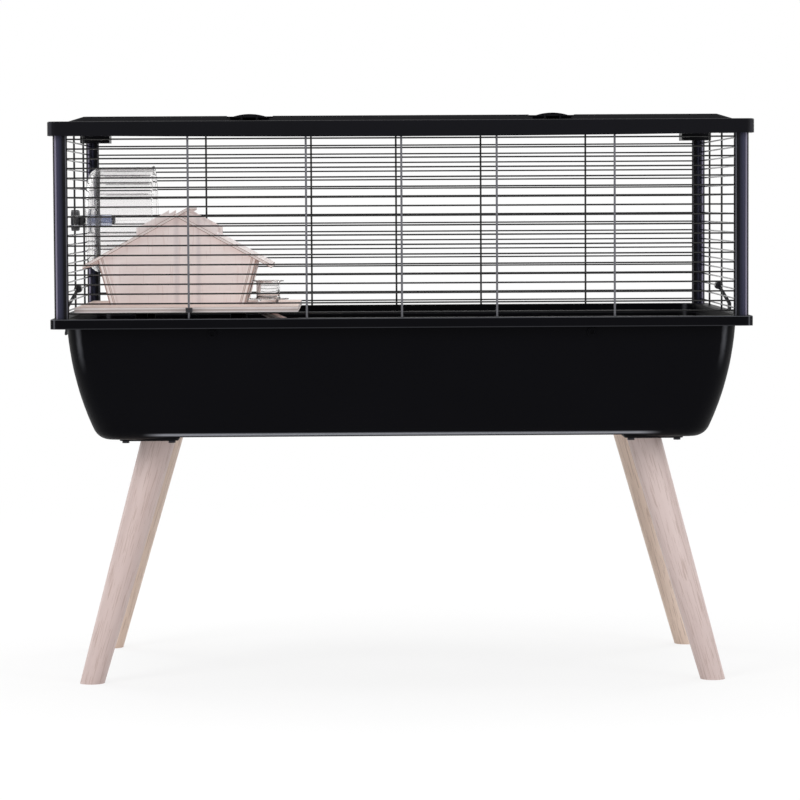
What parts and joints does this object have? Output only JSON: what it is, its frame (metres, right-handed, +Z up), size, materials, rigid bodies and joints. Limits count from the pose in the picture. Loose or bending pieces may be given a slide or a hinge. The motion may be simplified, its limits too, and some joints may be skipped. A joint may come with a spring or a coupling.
{
  "type": "small animal cage on legs",
  "caption": "Wire cage for small rodents with a deep moulded tray, a hinged roof, a wooden platform with a house, an exercise wheel and splayed wooden legs.",
  "frame": {"origin": "on the ground, under the middle of the cage", "axes": "+Z up, +X to the right along the long side, -Y to the front; the house and the wheel are on the -X side"},
  "size_m": [0.786, 0.477, 0.6401],
  "materials": {
    "black_plastic": "satin moulded",
    "post_plastic": "satin extruded",
    "clip_plastic": "matte moulded",
    "knob_plastic": "matte moulded",
    "black_wire": "powder coated",
    "black_steel": "powder coated",
    "steel": "zinc plated",
    "leg_wood": "clear varnish",
    "plywood": "raw sanded",
    "clear_plastic": "clear",
    "smoke_plastic": "clear tinted"
  },
  "bodies": {
    "cage": {"basin": "black_plastic", "bowl": "clear_plastic", "house_roof_left": "plywood", "house_roof_right": "plywood", "house_wall_back": "plywood", "house_wall_front": "plywood", "house_wall_left": "plywood", "house_wall_right": "plywood", "leg_back_left": "leg_wood", "leg_back_right": "leg_wood", "leg_front_left": "leg_wood", "leg_front_right": "leg_wood", "leg_plate_back_left": "black_steel", "leg_plate_back_right": "black_steel", "leg_plate_front_left": "black_steel", "leg_plate_front_right": "black_steel", "leg_plate_screws": "steel", "leg_studs": "steel", "lid_frame": "black_plastic", "platform_board": "plywood", "platform_clip": "clip_plastic", "platform_foot_back_left": "black_plastic", "platform_foot_back_right": "black_plastic", "platform_foot_front_left": "black_plastic", "platform_foot_front_right": "black_plastic", "post_back_left": "post_plastic", "post_back_right": "post_plastic", "post_front_left": "post_plastic", "post_front_right": "post_plastic", "ramp": "plywood", "ramp_rungs": "plywood", "roof_hinge_pins": "steel", "wheel_axle": "knob_plastic", "wheel_collar": "knob_plastic", "wheel_knob": "knob_plastic", "wheel_push_nut": "knob_plastic", "wheel_washer": "knob_plastic", "wire_panel_back": "black_wire", "wire_panel_front": "black_wire", "wire_panel_left": "black_wire", "wire_panel_right": "black_wire"},
    "roof": {"roof_panel": "black_plastic", "roof_grille": "black_wire"},
    "roof_latch_left": {"roof_latch_left": "black_plastic"},
    "roof_latch_right": {"roof_latch_right": "black_plastic"},
    "side_clip_left": {"side_clip_left": "clip_plastic"},
    "side_clip_right": {"side_clip_right": "clip_plastic"},
    "wheel": {"wheel_drum": "clear_plastic", "wheel_hub": "smoke_plastic"}
  },
  "joints": [
    {"name": "roof_hinge", "type": "hinge", "parent": "cage", "child": "roof", "pos_m": [0, 0.222, 0.6362], "axis": [-1, 0, 0], "range_deg": [0, 105]},
    {"name": "roof_latch_left_slide", "type": "slide", "parent": "roof", "child": "roof_latch_left", "axis": [0, 1, 0], "range_m": [0, 0.006]},
    {"name": "roof_latch_right_slide", "type": "slide", "parent": "roof", "child": "roof_latch_right", "axis": [0, 1, 0], "range_m": [0, 0.006]},
    {"name": "side_clip_left_turn", "type": "hinge", "parent": "cage", "child": "side_clip_left", "pos_m": [-0.377, 0.016, 0.4422], "axis": [0, 1, 0], "range_deg": [0, 100]},
    {"name": "side_clip_right_turn", "type": "hinge", "parent": "cage", "child": "side_clip_right", "pos_m": [0.377, 0.016, 0.4422], "axis": [0, -1, 0], "range_deg": [0, 100]},
    {"name": "wheel_spin", "type": "hinge", "parent": "cage", "child": "wheel", "pos_m": [-0.345, 0.12, 0.52207], "axis": [1, 0, 0], "continuous": true}
  ]
}
